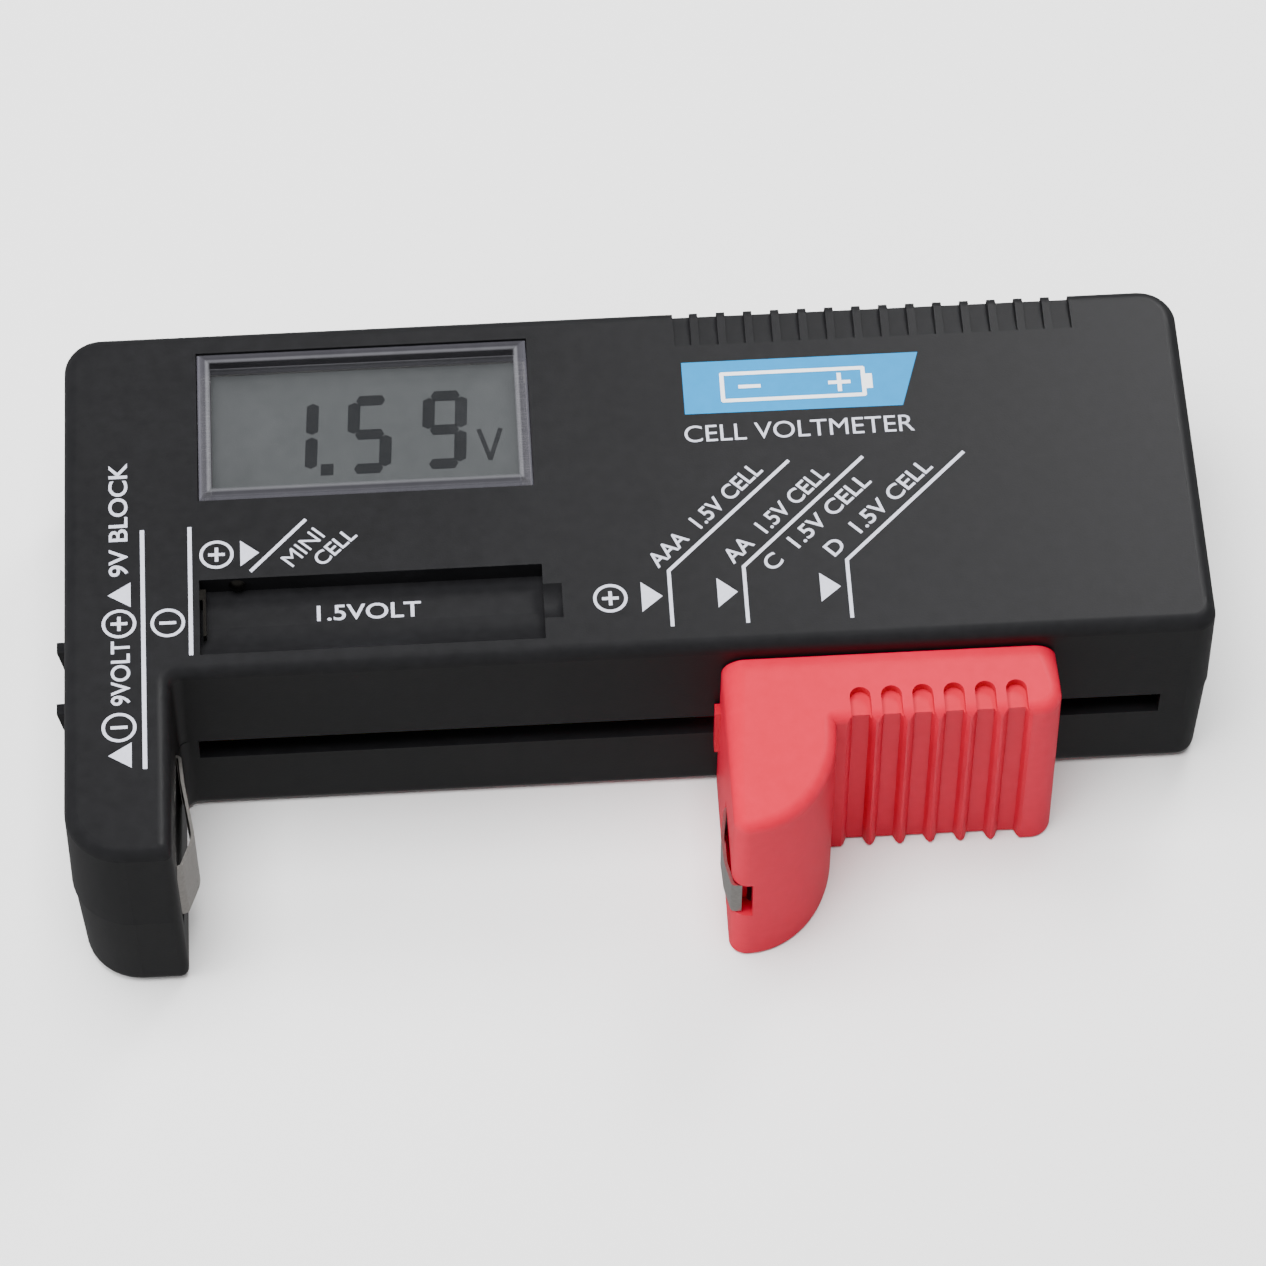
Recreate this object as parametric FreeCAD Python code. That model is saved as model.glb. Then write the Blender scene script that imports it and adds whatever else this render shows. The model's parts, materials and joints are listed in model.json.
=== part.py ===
"""Pocket battery tester: an L-shaped black case with a liquid-crystal voltmeter, and a red sprung jaw.

A cell is held in the open bay between a leaf contact on the case's arm and a leaf contact on the jaw,
which slides in a slot along the bay wall. Button cells go in the trough on top, and a 9 V battery's snaps
press on two contacts in the left side. The case is two shells that meet at PART_Z, with screws from below.

Frame: millimetres, +X to the right along the length, +Y to the back, +Z up out of the display face.
The origin is on the underside, at the centre of the case's footprint. The jaw is drawn at the AA opening.
"""

import FreeCAD, Part
import math
import os

V = FreeCAD.Vector
X, Y, Z = V(1, 0, 0), V(0, 1, 0), V(0, 0, 1)

# ---- driving dimensions ----
LENGTH = 111.4            # case along X, at the parting line
DEPTH = 60.4              # case along Y
HEIGHT = 25.0             # case along Z
ARM_WIDTH = 10.4          # arm that carries the fixed contact
BAY_DEPTH = 20.1          # how far the bay wall stands behind the arm's front
PART_Z = 12.4             # parting plane of the two shells
WALL = 1.8
ROOF = 2.0                # thickness of the display face
DRAFT = 0.35              # how much each shell narrows from the parting plane to its face
STEP = 0.15               # how far the lower shell stands inside the upper at the parting line
TOP_ROUND = 1.3
BOTTOM_ROUND = 1.4
AA_OPENING = 50.2         # gap between the two leaf contacts at rest

# ---- planes that follow from them ----
LEFT, RIGHT = -LENGTH / 2, LENGTH / 2
FRONT, BACK = -DEPTH / 2, DEPTH / 2
ARM_X = LEFT + ARM_WIDTH              # the arm's face that looks into the bay
BAY_Y = FRONT + BAY_DEPTH             # the bay wall
ROOF_UNDER = HEIGHT - ROOF
FLOOR_TOP = WALL
BAY_INNER_Y = BAY_Y + WALL            # inside face of the bay wall
LEFT_INNER_X = LEFT + WALL
ARM_INNER_X = ARM_X - WALL

# ---- corner radii of the footprint ----
ARM_NOSE_R, ARM_TIP_R, INSIDE_R, SHOULDER_R, BACK_R = 6.0, 1.2, 3.0, 2.4, 4.0

# ---- lap joint between the shells ----
LIP_OUT, LIP_HEIGHT, LIP_GAP = 0.9, 1.2, 0.1

# ---- slot and jaw ----
SLOT_LEFT, SLOT_RIGHT = -43.4, 50.8
SLOT_HEIGHT = 3.1
SLOT_LOW = PART_Z - SLOT_HEIGHT
FIXED_TIP_X = -43.5                   # crown of the fixed leaf
JAW_TIP_X = FIXED_TIP_X + AA_OPENING  # crown of the jaw's leaf
JAW_LEFT = JAW_TIP_X + 0.65           # at the underside; the sides narrow by JAW_DRAFT towards the top
JAW_WIDTH = 32.7
JAW_RIGHT = JAW_LEFT + JAW_WIDTH
JAW_BACK = BAY_Y - 0.2
JAW_LOW, JAW_TOP = 0.3, 22.85
JAW_CORNER, GRIP_CORNER = 1.7, 2.2    # upright corners: the leg's nose, the grip's right side
JAW_EDGE, JAW_SIDE_EDGE = 1.2, 2.3    # top edges: along the front, and at the back end of each side
LEG_RIGHT, LEG_REACH = JAW_LEFT + 10.65, 11.25    # right side and front half axis of the quarter ellipse
LEG_CX, LEG_CY = JAW_LEFT + JAW_CORNER, -18.75
GRIP_Y = -18.5                        # grip's front face at the bottom
JAW_LEAN, JAW_DRAFT = 1.0, 0.2        # how much the front faces and the sides lean in towards the top
JAW_WALL, JAW_ROOF = 1.6, 2.3
GROOVES, GROOVE_PITCH, GROOVE_WIDTH, GROOVE_DEPTH = 6, 3.0, 2.0, 0.95
FIRST_GROOVE_X = JAW_LEFT + 13.15
GROOVE_END_Y = -14.0
RIDGE_BEVEL = 0.28                    # taken off the edges of the ridges between the grooves
LIP, LIP_LOW, LIP_TOP = 0.4, 7.9, 15.0    # small lip beside the jaw's left face, at the wall
TONGUE_LEFT, TONGUE_RIGHT = JAW_LEFT - 2.05, JAW_RIGHT - 1.2
TONGUE_LOW, TONGUE_TOP = SLOT_LOW + 0.2, SLOT_LOW + 2.4
FLANGE_Y0, FLANGE_Y1 = BAY_INNER_Y + 0.2, BAY_INNER_Y + 1.4
FLANGE_LOW, FLANGE_TOP = 6.6, 15.4

# ---- leaf contacts ----
LEAF = 0.3
LEAF_LOW, LEAF_TOP = 7.4, 12.4        # the jaw's leaf
LEAF_SLIT_Y = -20.4
CELL_Y = -23.4                        # where the crowns touch a cell's ends
FIXED_LOW, FIXED_TOP = 8.0, 16.8
FIXED_ROOT_Y, FIXED_END_Y = -14.2, -27.2

# ---- display ----
WINDOW_X0, WINDOW_X1, WINDOW_Y0, WINDOW_Y1 = -42.3, -9.5, 9.6, 27.2
WINDOW_PROUD = 0.12
WINDOW_PLATE, WINDOW_RIM = 1.2, 1.1
WINDOW_LOW = 21.9
FLANGE_OUT = 0.7
GAP = 0.1
LCD_TOP, LCD_THICK = 22.7, 2.0
BOARD_TOP, BOARD_THICK = 18.0, 1.6
BOARD_X0, BOARD_X1, BOARD_Y0, BOARD_Y1 = -47.2, -3.4, -1.6, 26.6
BOARD_POSTS = [(-45.1, 4.6), (-45.1, 23.6), (-6.0, 4.6), (-6.0, 23.6)]

# ---- button-cell trough in the roof ----
TROUGH_X0, TROUGH_X1, TROUGH_BACK = -42.3, -9.2, 0.4
TROUGH_FRONT = BAY_Y + 2.0
TROUGH_DEPTH = 2.2
NOTCH_LENGTH, NOTCH_Y, NOTCH_R, NOTCH_DEPTH = 1.8, -3.85, 2.4, 1.0

# ---- finger ribs on the back edge ----
RIBS, RIB_PITCH, RIB_WIDTH, RIB_FIRST_X = 15, 2.71, 0.8, 7.3
RIB_FIELD_X0, RIB_FIELD_Y0 = 5.2, 25.4
RIB_LOW = PART_Z + 1.6

# ---- 9 V contacts in the left side ----
SNAP_Z0, SNAP_Z1 = 9.0, 17.0
SNAPS = {"positive": (-7.9, -3.3), "negative": (-21.8, -14.8)}
FIN_WIDTH, FIN_REACH, FIN_TOP, FIN_LOW = 1.2, 0.95, 18.0, PART_Z + 0.05
FIN_YS = (-2.1, -9.1)

# ---- case screws, from below ----
CASE_POSTS = [(-50.3, -24.0), (-50.6, 24.4), (50.2, 24.0), (49.6, 3.0)]
POST_R, SCREW_R, SCREW_CLEAR, HEAD_R, HEAD_THICK = 2.9, 1.15, 1.4, 2.3, 1.5
HEAD_SEAT_Z = 3.0
BOARD_POST_R, BOARD_SCREW_R, BOARD_HEAD_R = 2.0, 0.8, 1.7

# ---- sliding pick-up inside the case ----
RAIL_Y0, RAIL_Y1, RAIL_LOW, RAIL_THICK = -6.2, -3.2, 4.6, 0.4
RAIL_X0, RAIL_X1 = -43.0, 51.0
WIPER_X0, WIPER_X1 = JAW_LEFT + 10.8, JAW_LEFT + 14.8
WIPER_THICK = 0.25

# ---- return spring ----
SPRING_Y, SPRING_Z = -5.0, 13.8
SPRING_R, SPRING_WIRE = 1.4, 0.22
SPRING_LENGTHS, TURNS_EACH = 4, 10    # the coil is made of equal lengths that meet end to end
ANCHOR_X, ANCHOR_R = -50.8, 1.0       # post on the floor that holds the spring's fixed end
PEG_X, PEG_R = TONGUE_RIGHT - 1.2, 0.8
HOOK_R = 1.25
SPRING_X0, SPRING_X1 = ANCHOR_X + HOOK_R, PEG_X - HOOK_R

LEAD_R = 0.55


# ---- small builders ----
def box(x0, x1, y0, y1, z0, z1):
    return Part.makeBox(x1 - x0, y1 - y0, z1 - z0, V(x0, y0, z0))


def rod(radius, base, direction, length):
    return Part.makeCylinder(radius, length, base, direction)


def prism(points, direction):
    """A closed polygon pushed along direction."""
    wire = Part.makePolygon([V(*p) for p in points] + [V(*points[0])])
    return Part.Face(wire).extrude(direction)


def union(shapes):
    """One solid from several that touch or overlap."""
    whole = shapes[0]
    for shape in shapes[1:]:
        whole = whole.fuse(shape)
    return whole.removeSplitter()


def rounded_path(points, radius):
    """Open wire of straight runs joined by tangent arcs. A corner may carry its own radius, put last."""
    edges = []
    start = V(*points[0][:3])
    for i in range(1, len(points) - 1):
        corner = V(*points[i][:3])
        r = points[i][3] if len(points[i]) > 3 else radius
        back = (start - corner).normalize()
        ahead = (V(*points[i + 1][:3]) - corner).normalize()
        half = back.getAngle(ahead) / 2
        reach = r / math.tan(half)
        middle = corner + (back + ahead).normalize() * (r / math.sin(half) - r)
        a, b = corner + back * reach, corner + ahead * reach
        if (a - start).Length > 1e-6:
            edges.append(Part.makeLine(start, a))
        edges.append(Part.Arc(a, middle, b).toShape())
        start = b
    edges.append(Part.makeLine(start, V(*points[-1][:3])))
    return Part.Wire(edges)


def strip(points, radius, thickness, z0, z1):
    """Bent metal strip that stands on edge: a path in plan, given thickness on its left, z0 to z1."""
    path = rounded_path([(p[0], p[1], z0, *p[2:]) for p in points], radius)
    return path.makeOffset2D(thickness, 0, True, True, False).extrude(V(0, 0, z1 - z0))


def lead(points, radius=2.5):
    """An insulated wire along straight runs joined by arcs."""
    path = rounded_path(points, radius)
    start = V(*points[0])
    ring = Part.Wire(Part.makeCircle(LEAD_R, start, (V(*points[1]) - start).normalize()))
    return path.makePipeShell([ring], True, False)


def outline(inset, z, bay_inset):
    """The L-shaped footprint at height z, moved inwards by inset, and by bay_inset at the bay's walls."""
    x0, x1, y0, y1 = LEFT + inset, RIGHT - inset, FRONT + inset, BACK - inset
    xa, yb = ARM_X - bay_inset, BAY_Y + bay_inset
    # each corner: where it is, the directions in and out along the edges, and its radius
    corners = [
        (x0, y0, (0, 1), (1, 0), ARM_NOSE_R - inset),
        (xa, y0, (-1, 0), (0, 1), max(ARM_TIP_R - inset, 0.3)),
        (xa, yb, (0, -1), (1, 0), INSIDE_R * 0.3 + inset),
        (x1, yb, (-1, 0), (0, 1), max(SHOULDER_R - inset, 0.3)),
        (x1, y1, (0, -1), (-1, 0), BACK_R - inset),
        (x0, y1, (1, 0), (0, -1), BACK_R - inset),
    ]
    ends = []
    for cx, cy, before, after, r in corners:
        a = V(cx + before[0] * r, cy + before[1] * r, z)
        b = V(cx + after[0] * r, cy + after[1] * r, z)
        centre = V(cx + (before[0] + after[0]) * r, cy + (before[1] + after[1]) * r, z)
        middle = centre + (V(cx, cy, z) - centre).normalize() * r
        ends.append((a, middle, b))
    edges = []
    for i, (a, middle, b) in enumerate(ends):
        edges.append(Part.Arc(a, middle, b).toShape())
        edges.append(Part.makeLine(b, ends[(i + 1) % len(ends)][0]))
    return Part.Wire(edges)


def slab(inset, z0, z1):
    """The footprint, moved inwards by inset, from z0 to z1."""
    return Part.Face(outline(inset, z0, inset)).extrude(V(0, 0, z1 - z0))


def shell_body(step, face_z, rounding):
    """Solid of one half of the case, drafted from the parting plane to its face, the face's edges round."""
    body = Part.makeLoft([outline(step, PART_Z, 0), outline(step + DRAFT, face_z, 0)], True, True)
    rim = [e for e in body.Edges if all(abs(v.Z - face_z) < 1e-6 for v in e.Vertexes)]
    return body.makeFillet(rounding, rim)


def lap_ring(out, z0, z1):
    """Band of the lap joint, from out inside the footprint to the wall's inner face, open at the slot."""
    ring = slab(out, z0, z1).cut(slab(WALL, z0 - 1, z1 + 1))
    return ring.cut(box(SLOT_LEFT - 1.2, SLOT_RIGHT + 1.2, BAY_Y - 1, BAY_INNER_Y + 1, z0 - 1, z1 + 1))


# ---- case ----
def trough_cut():
    """The button-cell trough: steep at the back, its floor curving up to the front lip."""
    floor_z = HEIGHT - TROUGH_DEPTH
    flat_y = TROUGH_BACK - 4.2
    lip = V(0, TROUGH_FRONT, HEIGHT - 0.25)
    curve = Part.Arc(V(0, flat_y, floor_z), V(0, (flat_y + TROUGH_FRONT) / 2 - 0.2, floor_z + 0.62), lip)
    sides = [
        Part.makeLine(V(0, TROUGH_BACK, HEIGHT + 1), V(0, TROUGH_BACK, floor_z)),
        Part.makeLine(V(0, TROUGH_BACK, floor_z), V(0, flat_y, floor_z)),
        curve.toShape(),
        Part.makeLine(lip, V(0, TROUGH_FRONT, HEIGHT + 1)),
        Part.makeLine(V(0, TROUGH_FRONT, HEIGHT + 1), V(0, TROUGH_BACK, HEIGHT + 1)),
    ]
    cut = Part.Face(Part.Wire(sides)).extrude(V(TROUGH_X1 - TROUGH_X0, 0, 0))
    cut.translate(V(TROUGH_X0, 0, 0))
    notch_axis = V(TROUGH_X1 - 0.5, NOTCH_Y, HEIGHT - NOTCH_DEPTH + NOTCH_R)
    return cut.fuse(rod(NOTCH_R, notch_axis, X, NOTCH_LENGTH + 0.5))


def rib_lands():
    """The sunk lands between the finger ribs, cut from the display face and down the back wall."""
    starts = [RIB_FIELD_X0] + [RIB_FIRST_X + i * RIB_PITCH + RIB_WIDTH / 2 for i in range(RIBS - 1)]
    stops = [RIB_FIRST_X + i * RIB_PITCH - RIB_WIDTH / 2 for i in range(RIBS)]
    profile = [
        (RIB_FIELD_Y0, HEIGHT + 1),
        (RIB_FIELD_Y0, HEIGHT - 0.35),
        (BACK - 0.85, HEIGHT - 0.75),
        (BACK - 0.85, RIB_LOW),
        (BACK + 1, RIB_LOW),
        (BACK + 1, HEIGHT + 1),
    ]
    return [prism([(x0, y, z) for y, z in profile], V(x1 - x0, 0, 0)) for x0, x1 in zip(starts, stops)]


def snap_windows():
    return [box(LEFT - 1, LEFT_INNER_X + 0.5, y0, y1, SNAP_Z0, SNAP_Z1) for y0, y1 in SNAPS.values()]


def snap_fins():
    """Two wedge ribs beside the positive window, with room between them for the small snap only."""
    fins = []
    for y in FIN_YS:
        points = [(LEFT + 0.4, FIN_LOW), (LEFT - 0.13, FIN_LOW), (LEFT - FIN_REACH, FIN_TOP),
                  (LEFT + 0.6, FIN_TOP)]
        fins.append(prism([(x, y - FIN_WIDTH / 2, z) for x, z in points], V(0, FIN_WIDTH, 0)))
    return fins


def fixed_contact_slits():
    """Openings in the arm's inner wall for the fixed leaf's root and for its tucked-in tip."""
    z0, z1 = FIXED_LOW - GAP, FIXED_TOP + GAP
    root = box(ARM_INNER_X - 1, ARM_X + 1, FIXED_ROOT_Y - LEAF - 0.2, FIXED_ROOT_Y + LEAF + 0.2, z0, z1)
    tip = box(ARM_X - 1.1, ARM_X + 1, FIXED_END_Y - 0.8, FIXED_END_Y + 1.0, z0, z1)
    return [root, tip]


def upper_case():
    shell = shell_body(0, HEIGHT, TOP_ROUND)
    shell = shell.cut(slab(WALL, PART_Z - 1, ROOF_UNDER))
    pocket = box(TROUGH_X0 - 1.6, TROUGH_X1 + NOTCH_LENGTH + 1.6, BAY_Y + WALL / 2, TROUGH_BACK + 1.6,
                 HEIGHT - TROUGH_DEPTH - 1.5, HEIGHT - 1)
    posts = [rod(POST_R, V(x, y, PART_Z + 0.1), Z, ROOF_UNDER - PART_Z + 0.5) for x, y in CASE_POSTS]
    post_height = ROOF_UNDER - BOARD_TOP + 0.5
    posts += [rod(BOARD_POST_R, V(x, y, BOARD_TOP), Z, post_height) for x, y in BOARD_POSTS]
    shell = union([shell, pocket] + posts + snap_fins())
    cuts = [trough_cut(), lap_ring(LIP_OUT - LIP_GAP, PART_Z - 1, PART_Z + LIP_HEIGHT + LIP_GAP)]
    cuts += rib_lands() + snap_windows() + fixed_contact_slits()
    cuts.append(box(WINDOW_X0, WINDOW_X1, WINDOW_Y0, WINDOW_Y1, ROOF_UNDER - 1, HEIGHT + 1))
    cuts.append(box(MINI_MINUS_X - GAP, MINI_MINUS_X + LEAF + GAP, MINI_Y0 - GAP, MINI_Y1 + GAP,
                    BOARD_TOP, HEIGHT - 0.5))
    cuts.append(rod(MINI_PIN_R + 0.05, V(MINI_PLUS_X, TROUGH_BACK - 1, MINI_PLUS_Z), Y, 4))
    cuts += [rod(SCREW_R + 0.05, V(x, y, 0), Z, PART_Z + 8.0) for x, y in CASE_POSTS]
    cuts += [rod(BOARD_SCREW_R + 0.05, V(x, y, 0), Z, BOARD_TOP + 3.6) for x, y in BOARD_POSTS]
    return shell.cut(Part.makeCompound(cuts))


def lower_case():
    shell = shell_body(STEP, 0, BOTTOM_ROUND)
    shell = shell.cut(slab(WALL, FLOOR_TOP, PART_Z + 1))
    parts = [shell, lap_ring(LIP_OUT, PART_Z - 0.6, PART_Z + LIP_HEIGHT)]
    parts += [rod(POST_R, V(x, y, FLOOR_TOP - 0.5), Z, PART_Z - FLOOR_TOP + 0.5) for x, y in CASE_POSTS]
    parts.append(rod(ANCHOR_R, V(ANCHOR_X, SPRING_Y, FLOOR_TOP - 0.5), Z, SPRING_Z + 1.8 - FLOOR_TOP))
    for x in (RAIL_X0 + 2, (RAIL_X0 + RAIL_X1) / 2, RAIL_X1 - 2):
        parts.append(box(x - 1, x + 1, RAIL_Y0, RAIL_Y1, FLOOR_TOP - 0.5, RAIL_LOW))
    shell = union(parts)
    cuts = [box(SLOT_LEFT, SLOT_RIGHT, BAY_Y - 1, BAY_INNER_Y + 1, SLOT_LOW, PART_Z + 2)]
    cuts += snap_windows() + fixed_contact_slits()
    cuts += [rod(SCREW_CLEAR, V(x, y, -1), Z, PART_Z + 2) for x, y in CASE_POSTS]
    cuts += [rod(HEAD_R + 0.3, V(x, y, -1), Z, HEAD_SEAT_Z + 1) for x, y in CASE_POSTS]
    return shell.cut(Part.makeCompound(cuts))


def screws(places, shank_r, head_r, head_thick, head_z, shank_top):
    """Pan-head self-tapping screws, driven upwards, with a cross recess."""
    made = []
    for x, y in places:
        head = rod(head_r, V(x, y, head_z), Z, head_thick)
        low_edge = [e for e in head.Edges if len(e.Vertexes) == 1 and abs(e.Vertexes[0].Z - head_z) < 1e-6]
        head = head.makeFillet(head_thick * 0.55, low_edge)
        shank_z, tip_z = head_z + head_thick - 0.2, shank_top - shank_r
        shank = rod(shank_r, V(x, y, shank_z), Z, tip_z - shank_z)
        tip = Part.makeCone(shank_r, shank_r * 0.3, shank_r, V(x, y, tip_z), Z)
        arm, half = head_r * 0.55, head_r * 0.13
        deep = head_thick * 0.55
        cross = box(x - arm, x + arm, y - half, y + half, head_z - 1, head_z + deep)
        cross = cross.fuse(box(x - half, x + half, y - arm, y + arm, head_z - 1, head_z + deep))
        made.append(union([head, shank, tip]).cut(cross))
    return Part.makeCompound(made)


def case_screws():
    return screws(CASE_POSTS, SCREW_R, HEAD_R, HEAD_THICK, HEAD_SEAT_Z - HEAD_THICK, PART_Z + 7.4)


# ---- display ----
def display_window():
    """Clear cover like a shallow tray: a face plate, a rim all round it, and a flange under the roof."""
    x0, x1 = WINDOW_X0 + GAP, WINDOW_X1 - GAP
    y0, y1 = WINDOW_Y0 + GAP, WINDOW_Y1 - GAP
    top = HEIGHT + WINDOW_PROUD
    plug = box(x0, x1, y0, y1, WINDOW_LOW, top)
    rim = [e for e in plug.Edges if all(abs(v.Z - top) < 1e-6 for v in e.Vertexes)]
    plug = plug.makeChamfer(0.35, rim)
    flange = box(x0 - FLANGE_OUT, x1 + FLANGE_OUT, y0 - FLANGE_OUT, y1, WINDOW_LOW, ROOF_UNDER)
    hollow = box(x0 + WINDOW_RIM, x1 - WINDOW_RIM, y0 + WINDOW_RIM, y1 - WINDOW_RIM, WINDOW_LOW - 1,
                 top - WINDOW_PLATE)
    return plug.fuse(flange).cut(hollow).removeSplitter()


LCD_X0, LCD_X1 = WINDOW_X0 + GAP + WINDOW_RIM + GAP, WINDOW_X1 - GAP - WINDOW_RIM - GAP
LCD_Y0, LCD_Y1 = WINDOW_Y0 + GAP + WINDOW_RIM + GAP, WINDOW_Y1 - GAP - WINDOW_RIM - GAP
LCD_LOW = LCD_TOP - LCD_THICK


def display_glass():
    """The liquid-crystal cell: two glass sheets, the lower one longer at the front for its contacts."""
    step = 1.4
    lower = box(LCD_X0, LCD_X1, LCD_Y0, LCD_Y1, LCD_LOW, LCD_TOP - LCD_THICK / 2)
    upper = box(LCD_X0, LCD_X1, LCD_Y0 + step, LCD_Y1, LCD_TOP - LCD_THICK / 2, LCD_TOP)
    return lower.fuse(upper).removeSplitter()


def zebra_strips():
    """Elastomer connectors that press the glass against the board's pads."""
    width = 1.8
    made = []
    for y in (LCD_Y0 + 0.3, LCD_Y1 - 0.3 - width):
        made.append(box(LCD_X0 + 1, LCD_X1 - 1, y, y + width, BOARD_TOP, LCD_LOW))
    return Part.makeCompound(made)


def display_frame():
    """Plastic frame between board and window that keeps glass and connectors in line."""
    out = 1.1
    outer = box(LCD_X0 - out, LCD_X1 + out, LCD_Y0 - out, LCD_Y1 + 0.8, BOARD_TOP, WINDOW_LOW)
    inner = box(LCD_X0 - 0.1, LCD_X1 + 0.1, LCD_Y0 - 0.1, LCD_Y1 + 0.1, BOARD_TOP - 1, WINDOW_LOW + 1)
    return outer.cut(inner)


# ---- circuit board ----
BOARD_LOW = BOARD_TOP - BOARD_THICK


def circuit_board():
    board = box(BOARD_X0, BOARD_X1, BOARD_Y0, BOARD_Y1, BOARD_LOW, BOARD_TOP)
    corners = [e for e in board.Edges if abs(e.Vertexes[0].Z - e.Vertexes[-1].Z) > 1]
    board = board.makeFillet(1.5, corners)
    holes = [rod(BOARD_SCREW_R + 0.3, V(x, y, BOARD_LOW - 1), Z, BOARD_THICK + 2) for x, y in BOARD_POSTS]
    return board.cut(Part.makeCompound(holes))


def board_screws():
    return screws(BOARD_POSTS, BOARD_SCREW_R, BOARD_HEAD_R, 1.2, BOARD_LOW - 1.2, BOARD_TOP + 3.2)


def chip_blob():
    """Epoxy cap over the bare voltmeter chip, a low dome under the board."""
    foot, rise = 5.2, 1.7
    ball = (foot * foot + rise * rise) / (2 * rise)
    dome = Part.makeSphere(ball, V(-27, 14.5, BOARD_LOW + ball - rise))
    return dome.common(box(-40, -10, 0, 30, BOARD_LOW - rise - 1, BOARD_LOW))


def resistors():
    """Axial resistors that lie against the board, each with its two bent legs."""
    made = []
    for i in range(5):
        x, y, z = -13.5 + 1.6 * (i % 2), 6.2 + 3.1 * i, BOARD_LOW - 1.15
        body = rod(0.85, V(x - 1.6, y, z), X, 3.2)
        ends = [e for e in body.Edges if len(e.Vertexes) == 1]
        body = body.makeFillet(0.3, ends)
        legs = []
        for side in (-1, 1):
            legs.append(rod(0.25, V(x + side * 1.5, y, z), X * side, 1.3))
            legs.append(rod(0.25, V(x + side * 2.6, y, z - 0.25), Z, 1.4))
        made.append(union([body] + legs))
    return Part.makeCompound(made)


def capacitor():
    can = rod(2.0, V(-38.6, 20.4, BOARD_LOW - 5.2), Z, 5.2)
    ends = [e for e in can.Edges if len(e.Vertexes) == 1]
    can = can.makeFillet(0.4, ends)
    groove = Part.makeTorus(2.15, 0.3, V(-38.6, 20.4, BOARD_LOW - 1.2), Z)
    return can.cut(groove)


def boost_coil():
    """Drum-core inductor of the circuit that runs the meter from a single cell."""
    x, y, top = -38.4, 9.2, BOARD_LOW
    plates = [rod(2.6, V(x, y, top - 0.7), Z, 0.7), rod(2.6, V(x, y, top - 3.6), Z, 0.7)]
    return union(plates + [rod(1.9, V(x, y, top - 3.1), Z, 2.6)])


def trimmer():
    base = box(-21.2, -17.2, 19.4, 23.4, BOARD_LOW - 2.0, BOARD_LOW)
    dial = rod(1.5, V(-19.2, 21.4, BOARD_LOW - 2.6), Z, 0.8)
    slot = box(-20.4, -18.0, 21.2, 21.6, BOARD_LOW - 3, BOARD_LOW - 2.3)
    return union([base, dial]).cut(slot)


# ---- contacts in the case ----
MINI_MINUS_X = TROUGH_X0
MINI_Y0, MINI_Y1 = -1.5, -0.3
MINI_PLUS_X, MINI_PLUS_Z, MINI_PIN_R = -38.7, HEIGHT - 1.15, 0.5


def fixed_contact():
    """Leaf a cell's end presses on: rooted in the arm, crowned at CELL_Y, its tip tucked into the arm."""
    tail_x = ARM_INNER_X - 1.4
    points = [
        (tail_x, FIXED_ROOT_Y),
        (ARM_X + 0.5, FIXED_ROOT_Y),
        (ARM_X + 0.75, FIXED_ROOT_Y - 3.0),
        (FIXED_TIP_X - 0.07, CELL_Y, 3.0),
        (ARM_X + 0.5, FIXED_END_Y + 0.6),
        (ARM_X - 0.6, FIXED_END_Y + 0.2, 0.35),
    ]
    leaf = strip(points, 0.5, LEAF, FIXED_LOW, FIXED_TOP)
    tail = box(tail_x, tail_x + LEAF, FIXED_ROOT_Y, FIXED_ROOT_Y + 4.0, FIXED_LOW, FIXED_LOW + 3)
    return union([leaf, tail])


def nine_volt_contact(side):
    """Nickel-plated plate behind a window in the left side, crowned so that a snap meets it."""
    y0, y1 = SNAPS[side]
    x = LEFT_INNER_X + 0.45
    crown = LEFT + 0.75
    middle = (y0 + y1) / 2
    points = [
        (x, y0 - 1.0),
        (x, y0 + 0.5),
        (crown, middle - 0.9),
        (crown, middle + 0.9),
        (x, y1 - 0.5),
        (x, y1 + 1.0),
    ]
    plate = strip(points, 0.5, LEAF, SNAP_Z0 + 0.6, SNAP_Z1 - 0.6)
    tab = box(x - LEAF, x, y0 - 1.0, y0 + 1.8, SNAP_Z0 - 2.4, SNAP_Z0 + 0.8)
    return union([plate, tab])


def mini_positive_contact():
    """Rivet through the trough's back wall, with a strip down to the board."""
    head = Part.makeSphere(0.95, V(MINI_PLUS_X, TROUGH_BACK + 0.45, MINI_PLUS_Z))
    head = head.common(box(MINI_PLUS_X - 2, MINI_PLUS_X + 2, TROUGH_BACK - 2, TROUGH_BACK, 20, HEIGHT + 1))
    pin = rod(MINI_PIN_R, V(MINI_PLUS_X, TROUGH_BACK - 0.2, MINI_PLUS_Z), Y, 2.1)
    return union([head, pin])


def mini_negative_contact():
    """Plate against the trough's left end, whose tail reaches the board."""
    plate = box(MINI_MINUS_X, MINI_MINUS_X + LEAF, MINI_Y0, MINI_Y1, BOARD_TOP, HEIGHT - 0.6)
    low = HEIGHT - TROUGH_DEPTH + 0.7
    face = box(MINI_MINUS_X + LEAF, MINI_MINUS_X + 2 * LEAF, -5.6, MINI_Y1, low, HEIGHT - 0.6)
    return plate.fuse(face).removeSplitter()


def contact_rail():
    """Brass strip under the slot that picks up the jaw's contact."""
    rail = box(RAIL_X0, RAIL_X1, RAIL_Y0, RAIL_Y1, RAIL_LOW, RAIL_LOW + RAIL_THICK)
    tab = box(RAIL_X0, RAIL_X0 + 3, RAIL_Y1, RAIL_Y1 + 2.2, RAIL_LOW, RAIL_LOW + RAIL_THICK)
    return rail.fuse(tab).removeSplitter()


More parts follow.
